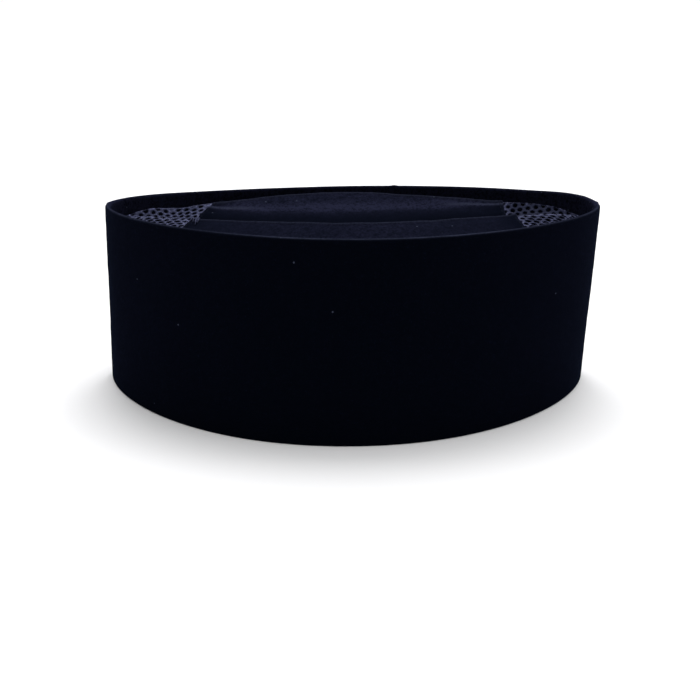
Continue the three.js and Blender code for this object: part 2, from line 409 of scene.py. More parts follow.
def rods(places: tuple, radius: float, taper: int) -> tuple[tuple, list]:
    """Thin closed rods along many short paths, all with as many points.

    Each path point gets a ring of points, square to the path, and a flat face closes each end.

    Args:
        places: X, Y and Z of the paths' points, as paths by points.
        radius: Radius in the middle of a path.
        taper: Power of the fall of the radius to both ends; the larger, the blunter the rod.

    Returns:
        X, Y and Z of the vertices, rod by rod and ring by ring, and faces.
    """
    paths = np.stack(places, axis=-1)
    count, steps, _ = paths.shape
    sides = ROD_SIDES
    radii = radius * np.sqrt(np.clip(1 - np.linspace(-1, 1, steps) ** taper, 1e-4, 1))
    along = np.gradient(paths, axis=1)
    along /= np.linalg.norm(along, axis=-1, keepdims=True)
    side = np.cross(along, np.array([0.0, 0.0, 1.0]))
    side /= np.linalg.norm(side, axis=-1, keepdims=True)
    up = np.cross(side, along)
    turn = np.arange(sides) * math.tau / sides
    ring = np.cos(turn)[:, None] * side[:, :, None, :] + np.sin(turn)[:, None] * up[:, :, None, :]
    points = paths[:, :, None, :] + ring * radii[None, :, None, None]
    one = grid_faces(steps, sides, wrap_rows=False, wrap_columns=True)
    first = np.arange(count)[:, None] * steps * sides
    tubes = (one[None] + first[:, :, None]).reshape(-1, 4)
    starts = first + np.arange(sides)
    ends = first + steps * sides - 1 - np.arange(sides)
    return tuple(points.reshape(-1, 3).T), tubes.tolist() + starts.tolist() + ends.tolist()


class NodeBench:
    """A material's node tree, with short calls to add and join nodes."""

    def __init__(self, name: str) -> None:
        """Starts a material with a principled shader."""
        self.material = bpy.data.materials.new(name)
        self.material.use_nodes = True
        self.tree = self.material.node_tree
        self.tree.nodes.clear()
        self.shader = self.add("ShaderNodeBsdfPrincipled")
        output = self.add("ShaderNodeOutputMaterial")
        self.join(self.shader.outputs["BSDF"], output.inputs["Surface"])
        self.place = self.add("ShaderNodeTexCoord").outputs["Object"]

    def add(self, kind: str, **settings: object) -> bpy.types.Node:
        """Adds a node and sets its own properties."""
        node = self.tree.nodes.new(kind)
        for key, value in settings.items():
            setattr(node, key, value)
        return node

    def join(self, source: Socket, target: Socket) -> None:
        """Joins two sockets."""
        self.tree.links.new(source, target)

    def feed(self, kind: str, name: str, source: Socket, **values: object) -> bpy.types.Node:
        """Adds a node, joins source to the socket of that name and sets others, as constants does."""
        node = self.add(kind)
        for key, value in values.items():
            node.inputs[key.replace("_", " ")].default_value = value
        self.join(source, node.inputs[name])
        return node

    def drive(self, name: str, source: Socket) -> None:
        """Joins a socket to one of the shader's own, by name."""
        self.join(source, self.shader.inputs[name])

    def noise(self, scale: float, detail: float = 3.0, stretch: tuple = (1, 1, 1)) -> Socket:
        """Noise on the piece's own coordinates.

        Args:
            scale: Features per metre.
            detail: Octaves.
            stretch: Scale along each axis before the noise.

        Returns:
            The noise's value, from 0 to 1.
        """
        place = self.feed("ShaderNodeMapping", "Vector", self.place, Scale=stretch).outputs["Vector"]
        return self.feed("ShaderNodeTexNoise", "Vector", place, Scale=scale, Detail=detail).outputs["Fac"]

    def cells(self, scale: float) -> bpy.types.Node:
        """Voronoi cells on the piece's own coordinates, with so many to a metre."""
        return self.feed("ShaderNodeTexVoronoi", "Vector", self.place, Scale=scale)

    def ramp(self, source: Socket, low: float, high: float, out: tuple) -> Socket:
        """Maps a value from low..high to out[0]..out[1], and holds it there outside."""
        ends = {"From_Min": low, "From_Max": high, "To_Min": out[0], "To_Max": out[1]}
        return self.feed("ShaderNodeMapRange", "Value", source, **ends).outputs["Result"]

    def maths(self, kind: str, a: Socket, b: Socket | float) -> Socket:
        """One sum on two values."""
        node = self.add("ShaderNodeMath", operation=kind)
        self.join(a, node.inputs[0])
        if isinstance(b, (int, float)):
            node.inputs[1].default_value = b
        else:
            self.join(b, node.inputs[1])
        return node.outputs[0]

    def blend(self, share: Socket, a: object, b: object) -> Socket:
        """Mixes two colours, each a socket or a triple, by share."""
        node = self.add("ShaderNodeMix", data_type="RGBA")
        self.join(share, node.inputs["Factor"])
        for name, colour in (("A", a), ("B", b)):
            socket = next(s for s in node.inputs if s.name == name and s.type == "RGBA")
            if isinstance(colour, tuple):
                socket.default_value = (*colour, 1)
            else:
                self.join(colour, socket)
        return next(s for s in node.outputs if s.type == "RGBA")

    def measure(self, name: str) -> Socket:
        """A number that the mesh keeps for each vertex."""
        return self.add("ShaderNodeAttribute", attribute_name=name).outputs["Fac"]

    def constants(self, **values: object) -> None:
        """Sets the shader's own sockets; underscores in a name stand for spaces."""
        for key, value in values.items():
            self.shader.inputs[key.replace("_", " ")].default_value = value

    def bump(self, height: Socket, strength: float, distance: float) -> None:
        """Lets a height ruffle the shader's normal."""
        node = self.feed("ShaderNodeBump", "Height", height, Strength=strength, Distance=distance)
        self.drive("Normal", node.outputs["Normal"])


@dataclass(frozen=True)
class VelvetFinish:
    """Black velvet: a deep short pile, with painted sheen and shade in its colour, pale and faintly blue
    where light grazes the pile, and a painted highlight with wear along pressed edges.
    """

    name: str = "black velvet"
    deep: tuple = (0.0012, 0.0019, 0.0043)
    # painted sheen: the pale, faintly blue colour of pile that light grazes
    painted_sheen_colour: tuple = (0.0120, 0.0132, 0.0282)
    # pressed, worn pile and painted highlights along ridges, rims and hems
    pressed_and_lit: tuple = (0.022, 0.025, 0.044)
    lint: tuple = (0.040, 0.046, 0.070)
    sheen: float = 0.012
    sheen_roughness: float = 0.3
    sheen_tint: tuple = (0.35, 0.55, 1.0, 1)
    pile: float = 3200.0
    tuft: float = 1100.0
    coarse: float = 420.0
    patches: float = 55.0
    lint_cells: float = 210.0
    relief: float = 0.16 * MM

    def material(self) -> Material:
        """Builds the velvet's nodes.

        Returns:
            The material. It reads two vertex measures: painted_sheen, painted sheen and shade from 0, dark,
            to 1, palest, and wear_and_highlight, 1 where the pile is pressed or carries a painted highlight.
        """
        bench = NodeBench(self.name)
        measured = bench.measure("painted_sheen")
        pile = bench.noise(self.pile, 2.0)
        tuft = bench.noise(self.tuft, 3.0)
        patch = bench.ramp(bench.noise(self.patches, 4.0, (1, 1, 0.45)), 0.3, 0.7, (0.8, 1.25))
        coarse = bench.ramp(bench.noise(self.coarse, 2.0), 0.35, 0.65, (0.08, 0.74))
        grain = bench.maths("ADD", bench.ramp(tuft, 0.35, 0.65, (0.05, 1.15)), coarse)
        grain = bench.maths("MULTIPLY", patch, grain)
        ground = bench.ramp(grain, 0.4, 1.8, (0.0, 0.03))
        uneven = bench.maths("SUBTRACT", grain, 1.0)
        uneven = bench.maths("MULTIPLY", uneven, bench.ramp(measured, 0.12, 0.45, (0.15, 1.0)))
        painted_sheen = bench.maths("MULTIPLY", measured, bench.maths("ADD", uneven, 1.0))
        # Painted sheen and shade: the colour runs from the deep pile towards the painted sheen colour by the
        # vertex measure
        colour = bench.blend(bench.maths("ADD", painted_sheen, ground), self.deep, self.painted_sheen_colour)
        # Painted highlight and wear: pale lines of pressed pile and painted highlight, by the second measure
        wear_and_highlight = bench.maths("MULTIPLY", bench.measure("wear_and_highlight"), bench.ramp(tuft, 0.3, 0.7, (0.5, 1)))
        colour = bench.blend(wear_and_highlight, colour, self.pressed_and_lit)
        bench.drive("Base Color", bench.blend(self.specks(bench, measured), colour, self.lint))
        bench.constants(
            Roughness=0.95,
            Specular_IOR_Level=0.0,
            Sheen_Weight=self.sheen,
            Sheen_Roughness=self.sheen_roughness,
            Sheen_Tint=self.sheen_tint,
        )
        bench.bump(bench.maths("ADD", pile, bench.maths("MULTIPLY", tuft, 1.4)), 0.5, self.relief)
        return bench.material

    def specks(self, bench: NodeBench, painted_sheen: Socket) -> Socket:
        """Sparse lint: the middle of some Voronoi cells, more of them where the painted sheen is stronger.

        Args:
            bench: The material being built.
            painted_sheen: The painted sheen measure, from 0 to 1.

        Returns:
            1 on a speck and 0 elsewhere.
        """
        cells = bench.cells(self.lint_cells)
        split = bench.feed("ShaderNodeSeparateColor", "Color", cells.outputs["Color"])
        chance = bench.maths("ADD", split.outputs["Red"], bench.maths("MULTIPLY", painted_sheen, 0.35))
        near = bench.maths("LESS_THAN", cells.outputs["Distance"], 0.08)
        return bench.maths("MULTIPLY", bench.maths("GREATER_THAN", chance, 0.98), near)


@dataclass(frozen=True)
class BackingFinish:
    """The cloth's plain back, inside the cap: black cotton with a fine weave."""

    name: str = "black backing"
    dark: tuple = (0.0070, 0.0085, 0.0180)
    light: tuple = (0.0200, 0.0235, 0.0420)
    threads: float = 2200.0
    relief: float = 0.15 * MM

    def material(self) -> Material:
        """Builds the backing's nodes: two crossed sets of thread on the piece's coordinates."""
        bench = NodeBench(self.name)
        weft = bench.noise(self.threads, 1.0, (1, 1, 0.12))
        warp = bench.noise(self.threads, 1.0, (0.12, 0.12, 1))
        weave = bench.maths("MAXIMUM", weft, warp)
        bench.drive("Base Color", bench.blend(weave, self.dark, self.light))
        bench.drive("Roughness", bench.ramp(weave, 0.3, 0.8, (0.95, 0.8)))
        bench.constants(Specular_IOR_Level=0.02)
        bench.bump(weave, 0.5, self.relief)
        return bench.material


@dataclass(frozen=True)
class YarnFinish:
    """Soft black-grey yarn, paler and bluer than the velvet, with the loops of the knitting as relief."""

    name: str = "net yarn"
    shade: tuple = (0.0065, 0.0085, 0.024)
    light: tuple = (0.125, 0.138, 0.275)
    # pressed, tight yarn and painted highlights
    pressed_and_lit: tuple = (0.140, 0.152, 0.268)
    loops: float = 1100.0
    fibres: float = 4200.0
    drift: float = 850.0
    relief: float = 0.16 * MM

    def material(self) -> Material:
        """Builds the yarn's nodes.

        Returns:
            The material. It reads three vertex measures: strand_highlight, a painted highlight from 0 on a
            strand's flanks, in painted shade, to 1 along its top; wear_and_highlight, 1 where the yarn is
            pressed or drawn tight and pale or carries a painted highlight; and sunk, painted shade, 1 where
            it lies deep in a seam or low in the fold.
        """
        bench = NodeBench(self.name)
        strand_highlight = bench.measure("strand_highlight")
        loops = bench.cells(self.loops).outputs["Distance"]
        fibre = bench.noise(self.fibres, 2.0)
        drift = bench.ramp(bench.noise(self.drift, 3.0), 0.36, 0.64, (0.1, 1.0))
        tone = bench.maths("MULTIPLY", bench.ramp(loops, 0.15, 0.6, (1.5, 0.3)), drift)
        tone = bench.maths("ADD", tone, bench.ramp(fibre, 0.3, 0.7, (0, 0.15)))
        # Painted highlight along each strand's top, painted shade on its flanks
        colour = bench.blend(bench.maths("MULTIPLY", tone, strand_highlight), self.shade, self.light)
        # Painted highlight and wear towards the pressed colour
        wear_and_highlight = bench.maths("MULTIPLY", bench.measure("wear_and_highlight"), bench.ramp(fibre, 0.3, 0.7, (0.3, 1.0)))
        wear_and_highlight = bench.maths("MULTIPLY", wear_and_highlight, bench.ramp(strand_highlight, 0, 1, (0.4, 1)))
        colour = bench.blend(wear_and_highlight, colour, self.pressed_and_lit)
        # Painted shade: darker towards the shade colour by the sunk measure
        bench.drive("Base Color", bench.blend(bench.measure("sunk"), colour, self.shade))
        bench.drive("Roughness", bench.ramp(fibre, 0.3, 0.7, (0.6, 0.8)))
        bench.constants(Specular_IOR_Level=0.04, Sheen_Weight=0.01, Sheen_Roughness=0.4)
        bench.constants(Sheen_Tint=(0.6, 0.65, 1.0, 1))
        bench.bump(bench.maths("SUBTRACT", bench.maths("MULTIPLY", fibre, 0.35), loops), 0.8, self.relief)
        return bench.material


@dataclass
class Finishes:
    """The cap's materials, built once."""

    thread_shades: tuple = ((0.002, 0.003, 0.006), (0.006, 0.008, 0.015))

    def __post_init__(self) -> None:
        """Builds the four materials."""
        self.velvet = VelvetFinish().material()
        self.backing = BackingFinish().material()
        self.thread = BackingFinish("thread", *self.thread_shades).material()
        self.yarn = YarnFinish().material()


@dataclass
class CapPart:
    """A sub-assembly of the cap, made on its form and dressed in its finishes."""

    form: CapForm
    finishes: Finishes

    def declare(self, piece: bpy.types.Object, x: Array, y: Array, bead: float, held: str) -> None:
        """Works out the crown's height under the sheet at the given places; nothing is kept.

        Args:
            piece: The finished sheet; not used.
            x: Places along the cap, one to a row.
            y: Places across the cap in each row.
            bead: Strength of the crown's bead under the sheet.
            held: How the sheet is held; not used.
        """
        z = self.form.crown(x, y, bead)


@dataclass
class SideBand(CapPart):
    """The oval side band: velvet outside, over the rim and down to the crown, plain backing below."""

    around: int = 720
    wall_steps: int = 44
    roll_steps: int = 10
    corner: float = 0.7 * MM
    seam_x: float = 24.6 * MM  # the vertical seam, on the side away from the camera
    seam_depth: float = 0.45 * MM
    seam_rise: float = 0.35 * MM  # how far the seam stands up on the rim
    crease: float = 0.5 * MM  # how far the pressed ends stand out
    crease_reach: float = 1.3 * MM
    unevenness: float = 0.12 * MM
    hem: float = 6 * MM  # the lowest part of the wall, where the unevenness fades out
    lift_from: float = 3 * MM  # how far on the near side of the middle line that lift begins
    lift_fade: float = 14 * MM
    backing_from: float = 0.3 * MM  # how far below the crown's seam the plain backing starts
    # columns, in millimetres: place along X and how far the rim of the far long side is raised there
    far_lift: tuple = (
        (-110, 0), (-95, -0.3), (-75, -0.6), (-35, -0.2), (0, 0.35), (30, 0.7), (60, 0.85), (90, 0.8),
        (104, 1.2), (113, 0.9),
    )
    # columns: place along X in millimetres, and the strength there of the rim's pale line: worn pile and
    # painted highlight
    rim_wear_and_highlight: tuple = (
        (-110, 0.8), (-80, 0.75), (-55, 0.5), (-44, 0.7), (-20, 1.35), (0, 1.0), (18, 1.0), (44, 1.3),
        (70, 0.8), (113, 0.8),
    )

    def rim(self, x: Array, y: Array) -> Array:
        """Rim height at a place of the rim: the form's, and on the far side the table's lift as well.

        Args:
            x: Place along the cap.
            y: Place across it; the lift fades in over lift_fade.

        Returns:
            Height of the rolled rim's top.
        """
        lift = table_curve(x / MM, self.far_lift) * MM
        return self.form.rim_height(x) + lift * np.clip((y + self.lift_from) / self.lift_fade, 0, 1)

    def section(self, rim: Array) -> tuple[Array, Array, int]:
        """The wall's outline in section, from its lower edge up the outside, over the rim and back down.

        Quarter circles round the two lower corners, and a half circle over the rim.

        Args:
            rim: Rim height at each place round the band.

        Returns:
            Inset and height of each point, as places by points, and the number of points outside.
        """
        r, wall = self.corner, self.form.wall
        roll = wall / 2
        quarter = np.linspace(0, math.pi / 2, 5)
        half = np.linspace(0, math.pi, 2 * self.roll_steps + 1)
        climb = np.linspace(0, 1, self.wall_steps)[1:-1] ** 0.9
        low, low_z = r - r * np.sin(quarter), r - r * np.cos(quarter)
        tall = (rim - roll)[:, None]
        up = r + (tall - r) * climb
        over = roll - roll * np.cos(half)
        inset = np.concatenate([low, 0 * climb, over, wall + 0 * climb, wall - low[::-1]])
        low_z = low_z + 0 * tall
        z = np.hstack([low_z, up, tall + roll * np.sin(half), up[:, ::-1], low_z[:, ::-1]])
        return inset + 0 * tall, z, quarter.size + climb.size

    def build(self) -> bpy.types.Object:
        """Carries the section round the oval, with seam, creases and unevenness, and dresses it.

        Returns:
            The finished object.
        """
        form = self.form
        turn = np.arange(self.around) * math.tau / self.around
        rim = self.rim(*form.rim.at(turn).T)
        inset, z, wall_points = self.section(rim)
        share = z / rim[:, None]
        turns = np.broadcast_to(turn[:, None], z.shape)
        x, y = np.moveaxis(form.place(share, turns, inset), -1, 0)
        lined = (rim - form.drop(x[:, 0]))[:, None] - self.backing_from
        outer = np.clip(1 - inset / form.wall, 0, 1)
        girth = turns * form.rim_width / 2
        end = np.minimum(np.minimum(turns, math.tau - turns), np.abs(turns - math.pi)) * form.rim_width / 2
        beside = np.where(y > 0, x - self.seam_x, 1.0)
        lift = self.crease * hump(end, self.crease_reach)
        lift -= self.seam_depth * hump(beside, 0.4 * MM)
        lift += 0.5 * self.seam_depth * hump(np.abs(beside) - 1.4 * MM, 0.8 * MM)
        lift += self.unevenness * ripple(girth, z, 38 * MM, seed=4)
        lift += 0.35 * self.unevenness * ripple(girth, z, 9 * MM, seed=9)
        fade = np.clip(z / self.hem, 0, 1)
        x, y = np.moveaxis(form.place(share, turns, inset - outer * fade * lift), -1, 0)
        z = z + self.seam_rise * hump(beside, 1.3 * MM) * share**40
        backing = (z < lined) & (np.arange(z.shape[1]) >= wall_points + 2 * self.roll_steps)
        # Painted highlight and wear: a thin pale line along the rolled rim's top, pale lines down the pressed
        # ends and beside the seam
        wear_and_highlight = hump(share - 1, 0.006) * hump(inset - 0.35 * form.wall, 0.2 * form.wall)
        wear_and_highlight = wear_and_highlight * table_curve(x / MM, self.rim_wear_and_highlight)
        wear_and_highlight = wear_and_highlight * np.clip(1 + 0.2 * ripple(x, y, 10 * MM, seed=12), 0.6, 1.3)
        wear_and_highlight = np.maximum(wear_and_highlight, 0.5 * hump(end, 1.0 * MM) * outer)
        wear_and_highlight = np.maximum(wear_and_highlight, 0.2 * hump(np.abs(beside) - 0.9 * MM, 0.45 * MM) * outer)
        # Painted sheen: paler towards both ends, where the pile turns edge-on, more at the rear, on the
        # wall's inner face, which gets little light, and on the rim near the ends
        painted_sheen = 0.15 * hump(end, 4.5 * MM) + 0.22 * hump(end, 52 * MM)
        painted_sheen = painted_sheen + np.where(x > 0, 0.12, 0) * hump(end, 20 * MM)
        painted_sheen = painted_sheen * outer + 0.75 * (1 - outer) ** 2
        painted_sheen += 0.75 * hump(end, 8 * MM) * hump(share - 1, 0.022)
        faces = grid_faces(*z.shape, wrap_rows=True, wrap_columns=True)
        band = MeshPiece("velvet_band", (x, y, z), faces)
        band.dress(self.finishes.velvet, self.finishes.backing).back(backing.reshape(-1))
        return band.measure(wear_and_highlight=wear_and_highlight, painted_sheen=painted_sheen).mount("velvet", "side_band")


@dataclass
class VelvetCrown(CapPart):
    """The crown's velvet middle: one folded panel, hemmed at its two seams with the nets."""

    thickness: float = 1.2 * MM
    hem_lift: float = 0.35 * MM
    along_steps: int = 189
    leaf_steps: int = 34
    gusset_steps: int = 26
    hem_steps: int = 5
    half_velvet: float = 67 * MM  # from the crown's middle to a net's seam, on the shoulder
    swing_reach: float = 32 * MM  # how far from a net's seam its swing along X is felt

    def across(self, x: Array) -> Array:
        """Places across the crown, closer together at valley, ridges and seams.

        Args:
            x: Places along the cap, as places by points across.

        Returns:
            Y of each point.
        """
        leaf, side = eased(self.leaf_steps, 0.8), eased(self.gusset_steps, 0.8)[1:]
        leaf, side = np.append(leaf, np.ones_like(side)), np.append(np.zeros_like(leaf), side)
        leaf, side = (np.append(-half[:0:-1], half) for half in (leaf, side))
        ridge = self.form.ridge_y(x)
        return ridge * leaf + (self.form.half_width(x) - ridge) * side

    def shoulder(self, x: Array) -> tuple[Array, Array]:
        """The shoulder on each leaf, where the painted highlight runs: a little over half way up in the
        middle, nearer the ridge at the hems.

        Args:
            x: Place along the cap.

        Returns:
            Its share of the way to the ridge, and how pinched the painted highlight is: 0 broad, 1 a fine
            line.
        """
        away = x - self.form.rim_lean
        far = np.clip(np.abs(away) / self.half_velvet, 0, 1)
        share = 0.58 + np.where(away < 0, 0.28 * far**3, 0.32 * far**1.1)
        return share, np.clip((np.abs(away) - 40 * MM) / (13 * MM), 0, 1)

    def crown_sheen(self, x: Array, y: Array) -> Array:
        """Painted sheen and shade: least in the valley, most along the shoulder part of the way up each leaf.

        On the gussets the painted sheen is stronger in the middle of the cap and towards the band.

        Args:
            x: Place along the cap.
            y: Place across it.

        Returns:
            From 0 to 1.
        """
        up = np.abs(y) / self.form.ridge_y(x)
        shoulder, pinched = self.shoulder(x)
        valley = np.clip(1 - up / (shoulder - 0.12 + 0.07 * pinched), 0, 1) ** 0.5
        leaf = 0.42 + 0.58 * hump(up - shoulder, 0.13 - 0.07 * pinched) - 0.42 * valley
        leaf = leaf + 0.22 * pinched * np.clip((up - shoulder) / 0.05, 0, 1)
        gusset = 0.25 + 0.13 * hump(x - self.form.rim_lean, 45 * MM)
        gusset = gusset + 0.36 * hump(self.form.half_width(x) - np.abs(y), 8 * MM)
        return np.where(up < 1, leaf, gusset)

    def build(self) -> bpy.types.Object:
        """Makes the folded panel as a loop of sections: over the top, round the hem and back below.

        Returns:
            The finished object.
        """
        form = self.form
        gap = form.seam_gap / 2
        front, rear = form.seam_x(End.FRONT) + gap, form.seam_x(End.REAR) - gap
        edge = self.thickness / 2
        top = front + edge + (rear - front - 2 * edge) * eased(self.along_steps, 0.55)
        half = np.linspace(0, math.pi, self.hem_steps + 2)[1:-1]
        arc = edge * np.sin(half)
        x = np.concatenate([top, rear - edge + arc, top[::-1], front + edge - arc])[:, None]
        fall = (1 - np.cos(half)) / 2
        under = np.concatenate([0 * top, fall, 1 + 0 * top, 1 - fall])[:, None]
        x2 = x + np.zeros(2 * (self.leaf_steps + self.gusset_steps) + 1)
        for _ in range(3):
            y = self.across(x2)
            x2 = x + form.skew(End.FRONT, y) * hump(x - front, self.swing_reach)
            x2 = x2 + form.skew(End.REAR, y) * hump(rear - x, self.swing_reach)
        y = self.across(x2)
        to_hem = np.minimum(x - front, rear - x)
        hem = self.hem_lift * hump(to_hem, 3.0 * MM)
        z = form.crown(x2, y) + hem
        z += 0.10 * MM * ripple(x2, y, 16 * MM, seed=21) + 0.05 * MM * ripple(x2, y, 6 * MM, seed=22)
        z += 0.12 * MM * np.sin(y * math.tau / (7 * MM)) * hump(to_hem, 4 * MM)
        z -= under * (self.thickness + hem)
        rows, columns = y.shape
        faces = grid_faces(rows, columns, wrap_rows=True, wrap_columns=False)
        caps = self.caps(columns)
        shoulder, pinched = self.shoulder(x2)
        # Painted highlight and wear: a pale line along each pressed ridge, a faint one along both hems, and a
        # fine painted highlight on the shoulder near the hems
        wear_and_highlight = np.maximum(0.8 * hump(np.abs(y) - form.ridge_y(x2), 0.6 * MM), 0.15 * hump(to_hem, 1.2 * MM))
        wear_and_highlight = np.maximum(wear_and_highlight, 1.2 * pinched * hump(np.abs(y) / form.ridge_y(x2) - shoulder, 0.035))
        # Painted sheen and shade, darker near both hems
        painted_sheen = self.crown_sheen(x2, y) * (1 - 0.6 * hump(to_hem, 9 * MM))
        crown = MeshPiece("velvet_crown", (x2, y, z), faces.tolist() + caps)
        crown.dress(self.finishes.velvet, self.finishes.backing)
        crown.back(np.append(np.repeat(under > 0.5, columns - 1), np.ones(len(caps), dtype=bool)))
        piece = crown.measure(wear_and_highlight=wear_and_highlight, painted_sheen=painted_sheen).mount("velvet", "crown_panel")
        x = np.linspace(front, rear, 400)[:, None]
        self.declare(piece, x, self.across(x), bead=1.0, held="folded")
        return piece

    def caps(self, columns: int) -> list:
        """Faces that close both long edges: each top point with the one below it, and the hems' ends.

        Args:
            columns: Points in a section.

        Returns:
            Faces for both long edges.
        """
        last, hem = self.along_steps, self.hem_steps
        top = np.arange(last)
        below = 2 * last + hem + 1 - top
        near = np.stack([top, below, below - 1, top + 1], axis=1) * columns
        rear_arc = np.arange(last, last + hem + 2) * columns
        front_arc = np.append(np.arange(2 * last + hem + 1, 2 * last + 2 * hem + 2), 0) * columns
        faces = near.tolist() + (near[:, ::-1] + columns - 1).tolist()
        for arc in (rear_arc, front_arc):
            faces += [arc[::-1].tolist(), (arc + columns - 1).tolist()]
        return faces


@dataclass
class NetPanel(CapPart):
    """A knitted net: staggered rows of six-sided gaps between soft strands, sewn under the velvet's hem."""

    end: End
    pitch: float = 3.5 * MM
    row: float = 2.9 * MM
    groove: float = 0.12 * MM
    upright: float = 1.35 * MM  # width of the strands between gaps of one row
    slanting: float = 0.75 * MM  # width of those between two rows
    thickness: float = 0.64 * MM
    sunk: float = 0.3 * MM
    tuck: float = 2.6 * MM
    into_band: float = 1.2 * MM
    bead: float = 0.35  # strength of the crown's bead under the net
    hem_dip: float = 0.9 * MM  # how much lower the net lies under the velvet's hem
    edge_points: int = 4
    ring_steps: int = 4

    def cells(self) -> tuple[Array, Array]:
        """Rows and places in a row of the gaps whose middle lies within reach of the panel.

        Returns:
            Lattice numbers of each gap: its place along X in half pitches, and its row.
        """
        across, along = np.meshgrid(np.arange(-40, 41), np.arange(-4, 40), indexing="ij")
        halves = (2 * along + np.abs(across) % 2).reshape(-1)
        across = across.reshape(-1)
        u = halves * self.pitch / 2
        x, y = self.plan(u, across * self.row)
        inside = np.abs(y) < self.form.half_width(x) + 0.4 * self.row
        inside &= (self.form.tip_x(self.end) - x) * self.end.value > -0.4 * self.pitch
        inside &= u > -self.tuck - 0.3 * self.pitch
        return halves[inside], across[inside]

    def plan(self, u: Array, v: Array) -> tuple[Array, Array]:
        """Turns the lattice's own places into X and Y: from the seam outwards, and slightly uneven.

        Args:
            u: Distance outwards from the seam.
            v: Distance across.

        Returns:
            X and Y.
        """
        x = self.form.seam_x(self.end) + self.end.value * (u + 0.18 * MM * ripple(u, v, 14 * MM, seed=31))
        y = v + 0.22 * MM * ripple(u, v, 12 * MM, seed=32)
        return x + self.form.skew(self.end, y) * hump(np.maximum(u, 0), 14 * MM), y

    def outline(self) -> Array:
        """One cell's six-sided border round its middle, each side cut into equal steps.

        Returns:
            Points of the border, anticlockwise.
        """
        half, point = self.pitch / 2, 2 * self.row / 3
        corners = [[half, -point / 2], [half, point / 2], [0, point]]
        corners = np.array(corners + [[-x, -y] for x, y in corners])
        following = np.roll(corners, -1, axis=0)
        t = np.arange(self.edge_points)[None, :, None] / self.edge_points
        return (corners[:, None] * (1 - t) + following[:, None] * t).reshape(-1, 2)

    def gap(self, border: Array) -> Array:
        """The gap's edge in the direction of each border point: half way from an ellipse to the six sides."""
        half = self.pitch / 2 - self.upright / 2
        point = 2 * self.row / 3 - self.slanting / 2
        reach = 1 / np.hypot(border[:, 0] / half, border[:, 1] / point)
        return border * (reach + reach.mean())[:, None] / 2

    def lattice(self) -> tuple[Array, Array]:
        """The flat net: rings from the strands' middle line over the top to the gap, and back below.

        The gaps differ a little in size and place, as knitted loops do, and are drawn together along
        the near ridge and the seam. A painted highlight runs along each strand's top, with painted shade
        on its flanks; it is palest where three strands meet and along the slanting strands, and darker on
        the upright ones.

        Returns:
            Points as distance outwards, distance across, height and the painted highlight measure, and
            four-sided faces.
        """
        halves, across = self.cells()
        border = self.outline()
        turns = np.linspace(0, math.pi, 2 * self.ring_steps + 1)
        reach, rise = np.sin(turns), np.cos(turns) * self.thickness / 2
        rise -= self.groove * np.clip(1 - reach / 0.5, 0, 1) * np.sign(rise)
        centre = np.stack([halves * self.pitch / 2, across * self.row], axis=1)
        count, rings, sides = len(centre), len(turns), len(border)
        draw = np.random.default_rng(41 + self.end.value)
        middle_x, middle_y = self.plan(centre[:, 0], centre[:, 1])
        ridge_y = self.form.ridge_y(middle_x)
        drawn = np.maximum(0.5 * hump(middle_y + ridge_y, 1.1 * MM), 0.25 * hump(centre[:, 0], 2.0 * MM))
        size = 1 - drawn + 0.2 * (np.abs(middle_y) > ridge_y + 1 * MM)
        gap = self.gap(border) * draw.uniform(0.68, 0.94, (count, 1, 2)) * size[:, None, None]
        gap = gap + draw.uniform(-0.1, 0.1, (count, 1, 2)) * MM
        ring = border + (gap - border)[:, None] * reach[None, :, None, None]
        flat = centre[:, None, None, :] + ring
        height = np.broadcast_to(rise[None, :, None], (count, rings, sides))
        knot = np.abs(np.cos(math.pi * np.arange(sides) / self.edge_points))
        knot += (1 - knot) * np.repeat([0.2, 0.9, 0.9, 0.2, 0.9, 0.9], self.edge_points)
        # Painted highlight along each strand's top, painted shade on its flanks, with random tone from strand
        # to strand
        strand_highlight = hump(reach, 0.37)[None, :, None] * knot * draw.uniform(0.6, 1.3, (count, 1, 1))
        points = np.concatenate([flat, height[..., None], strand_highlight[..., None]], axis=-1).reshape(-1, 4)
        faces = grid_faces(rings, sides, wrap_rows=False, wrap_columns=True)
        faces = (faces[None] + (np.arange(count) * rings * sides)[:, None, None]).reshape(-1, 4)
        faces = np.vstack([faces, self.edge_strips(halves, across, rings, sides)])
        key = np.round(points[:, :3] / (0.01 * MM) + 0.2).astype(np.int64)
        _, first, same = np.unique(key, axis=0, return_index=True, return_inverse=True)
        return points[first], same.reshape(-1)[faces]

    def edge_strips(self, halves: Array, across: Array, rings: int, sides: int) -> Array:
        """Faces that close the net where a cell has no neighbour: from its top line to its bottom line.

        Args:
            halves: Each cell's place along X, in half pitches.
            across: Each cell's row.
            rings: Rings in a cell.
            sides: Points in a ring.

        Returns:
            Four-sided faces.
        """
        around = ((2, 0), (1, 1), (-1, 1), (-2, 0), (-1, -1), (1, -1))
        cells = list(zip(halves.tolist(), across.tolist()))
        held = set(cells)
        strips = []
        for number, (half, row) in enumerate(cells):
            top = number * rings * sides
            bottom = top + (rings - 1) * sides
            for side, (dh, dr) in enumerate(around):
                if (half + dh, row + dr) not in held:
                    k = side * self.edge_points + np.arange(self.edge_points)
                    following = (k + 1) % sides
                    corners = [bottom + k, top + k, top + following, bottom + following]
                    strips.append(np.stack(corners, axis=1))
        return np.vstack(strips)

